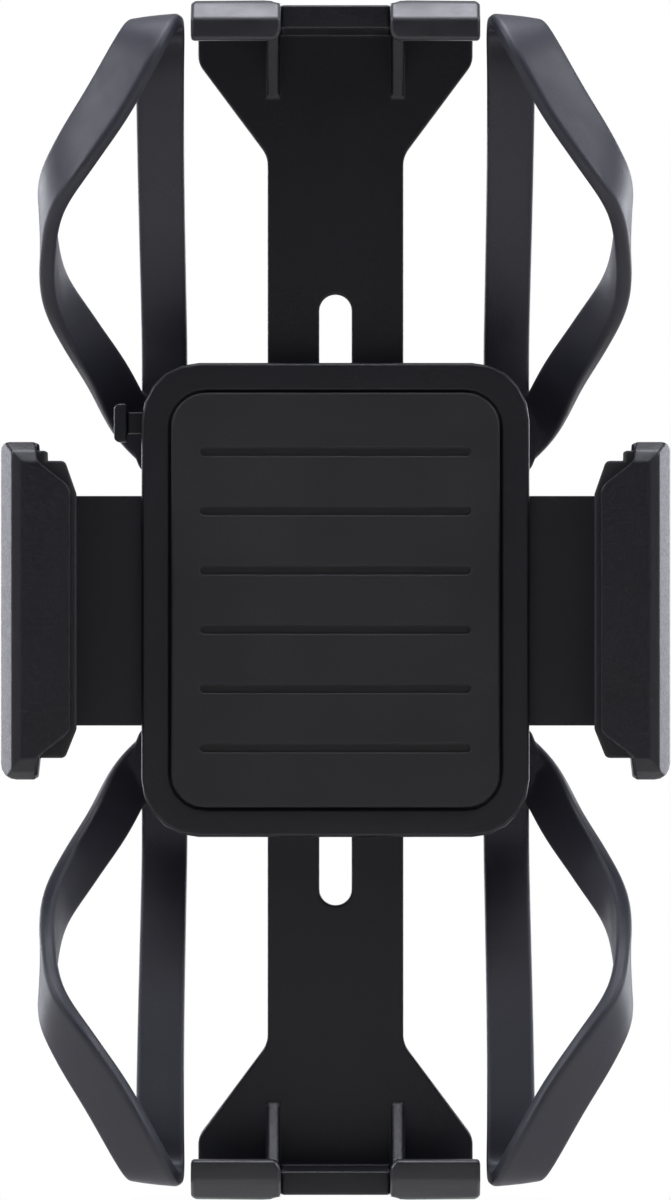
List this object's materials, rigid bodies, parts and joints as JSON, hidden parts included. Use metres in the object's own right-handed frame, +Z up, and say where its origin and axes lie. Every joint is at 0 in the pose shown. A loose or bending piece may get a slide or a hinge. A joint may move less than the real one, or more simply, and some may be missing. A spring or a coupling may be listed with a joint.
{
  "type": "phone handlebar mount",
  "caption": "Cradle with racked side jaws, sliding end feet and a rubber corner harness that holds a phone, on a ball joint and a handlebar clamp.",
  "frame": {"origin": "centre of the handlebar bore, on the bar's axis", "axes": "+X along the handlebar, +Z up, and the phone's screen faces -Y"},
  "size_m": [0.0926, 0.142, 0.1658],
  "materials": {
    "clamp_plastic": "satin black glass-filled nylon",
    "shell_plastic": "satin black plastic with a faint blue cast",
    "arm_plastic": "matte dark grey plastic",
    "silicone": "dark grey silicone rubber with a soft sheen",
    "pad_rubber": "matte black rubber",
    "ball_metal": "turned aluminium, satin",
    "steel": "zinc-plated steel",
    "brass": "turned brass",
    "nylon": "natural nylon"
  },
  "bodies": {
    "clamp": {"clamp_frame": "clamp_plastic", "front_liner": "pad_rubber", "thread_insert": "brass", "ball_stud": "ball_metal", "stud_washer": "steel"},
    "clamp_jaw": {"clamp_jaw": "clamp_plastic", "rear_liner": "pad_rubber", "jaw_retainer": "steel", "retainer_screws": "steel"},
    "clamp_knob": {"clamp_knob": "clamp_plastic", "clamp_screw": "steel", "knob_cap": "clamp_plastic"},
    "ball_ring": {"seat_ring": "nylon"},
    "ball_cup": {"seat_cup": "nylon"},
    "lock_collar": {"lock_collar": "clamp_plastic"},
    "cradle": {"ball_socket": "clamp_plastic", "socket_screws": "steel", "back_cover": "shell_plastic", "cover_screws": "steel", "mid_plate": "arm_plastic", "front_plate": "shell_plastic", "phone_pad": "pad_rubber", "pinion_axle": "steel", "foot_lock_nuts": "steel", "corner_harness": "silicone", "left_spring": "steel", "right_spring": "steel", "button_spring": "steel", "pawl_pin": "steel", "pawl_spring": "steel"},
    "pinion": {"pinion": "nylon"},
    "left_jaw": {"left_arm": "arm_plastic", "left_jaw_shell": "shell_plastic", "left_jaw_pad": "pad_rubber", "left_jaw_screws": "steel"},
    "right_jaw": {"right_arm": "arm_plastic", "right_jaw_shell": "shell_plastic", "right_jaw_pad": "pad_rubber", "right_jaw_screws": "steel"},
    "release_button": {"release_button": "shell_plastic"},
    "release_pawl": {"release_pawl": "steel"},
    "top_foot": {"top_foot": "shell_plastic", "top_toe_grips": "pad_rubber"},
    "bottom_foot": {"bottom_foot": "shell_plastic", "bottom_toe_grips": "pad_rubber"},
    "top_lock": {"top_lock_screw": "shell_plastic"},
    "bottom_lock": {"bottom_lock_screw": "shell_plastic"}
  },
  "joints": [
    {"name": "clamp_jaw_slide", "type": "slide", "parent": "clamp", "child": "clamp_jaw", "axis": [0, 1, 0], "range_m": [-0.004, 0.011]},
    {"name": "clamp_knob_turn", "type": "hinge", "parent": "clamp_jaw", "child": "clamp_knob", "pos_m": [0, 0.05, 0], "axis": [0, 1, 0], "range_deg": [-481, 1321]},
    {"name": "ball_swing", "type": "hinge", "parent": "clamp", "child": "ball_ring", "pos_m": [0, -0.039, 0], "axis": [0, 0, 1], "range_deg": [-20, 20]},
    {"name": "ball_tilt", "type": "hinge", "parent": "ball_ring", "child": "ball_cup", "pos_m": [0, -0.039, 0], "axis": [1, 0, 0], "range_deg": [-20, 20]},
    {"name": "cradle_spin", "type": "hinge", "parent": "ball_cup", "child": "cradle", "pos_m": [0, -0.039, 0], "axis": [0, 1, 0], "continuous": true},
    {"name": "collar_turn", "type": "hinge", "parent": "cradle", "child": "lock_collar", "pos_m": [0, -0.039, 0], "axis": [0, 1, 0], "range_deg": [0, 120]},
    {"name": "left_jaw_slide", "type": "slide", "parent": "cradle", "child": "left_jaw", "axis": [-1, 0, 0], "range_m": [-0.01, 0.007], "deforming": ["left_spring"]},
    {"name": "right_jaw_slide", "type": "slide", "parent": "cradle", "child": "right_jaw", "axis": [1, 0, 0], "range_m": [-0.0101, 0.0071], "deforming": ["right_spring"]},
    {"name": "pinion_spin", "type": "hinge", "parent": "cradle", "child": "pinion", "pos_m": [0, -0.061, -0.0015], "axis": [0, 1, 0], "range_deg": [-81, 115]},
    {"name": "release_button_slide", "type": "slide", "parent": "cradle", "child": "release_button", "axis": [1, 0, 0], "range_m": [0, 0.0015], "stiffness_N_per_m": 600, "springref_m": -0.001, "deforming": ["button_spring"]},
    {"name": "pawl_pivot", "type": "hinge", "parent": "cradle", "child": "release_pawl", "pos_m": [-0.012, -0.0616, 0.02], "axis": [0, 1, 0], "range_deg": [0, 19]},
    {"name": "top_foot_slide", "type": "slide", "parent": "cradle", "child": "top_foot", "axis": [0, 0, 1], "range_m": [-0.014, 0.008]},
    {"name": "bottom_foot_slide", "type": "slide", "parent": "cradle", "child": "bottom_foot", "axis": [0, 0, -1], "range_m": [-0.014, 0.008]},
    {"name": "top_lock_turn", "type": "hinge", "parent": "cradle", "child": "top_lock", "pos_m": [0, -0.05, 0.0265], "axis": [0, 1, 0], "range_deg": [0, 360]},
    {"name": "bottom_lock_turn", "type": "hinge", "parent": "cradle", "child": "bottom_lock", "pos_m": [0, -0.05, -0.0265], "axis": [0, 1, 0], "range_deg": [0, 360]}
  ],
  "couplings": [
    {"joint": "clamp_knob_turn", "follows": "clamp_jaw_slide", "rad_per_m": 2094.4},
    {"joint": "right_jaw_slide", "follows": "left_jaw_slide", "ratio": 1},
    {"joint": "pinion_spin", "follows": "left_jaw_slide", "rad_per_m": -200},
    {"joint": "pawl_pivot", "follows": "release_button_slide", "rad_per_m": 212.77}
  ]
}
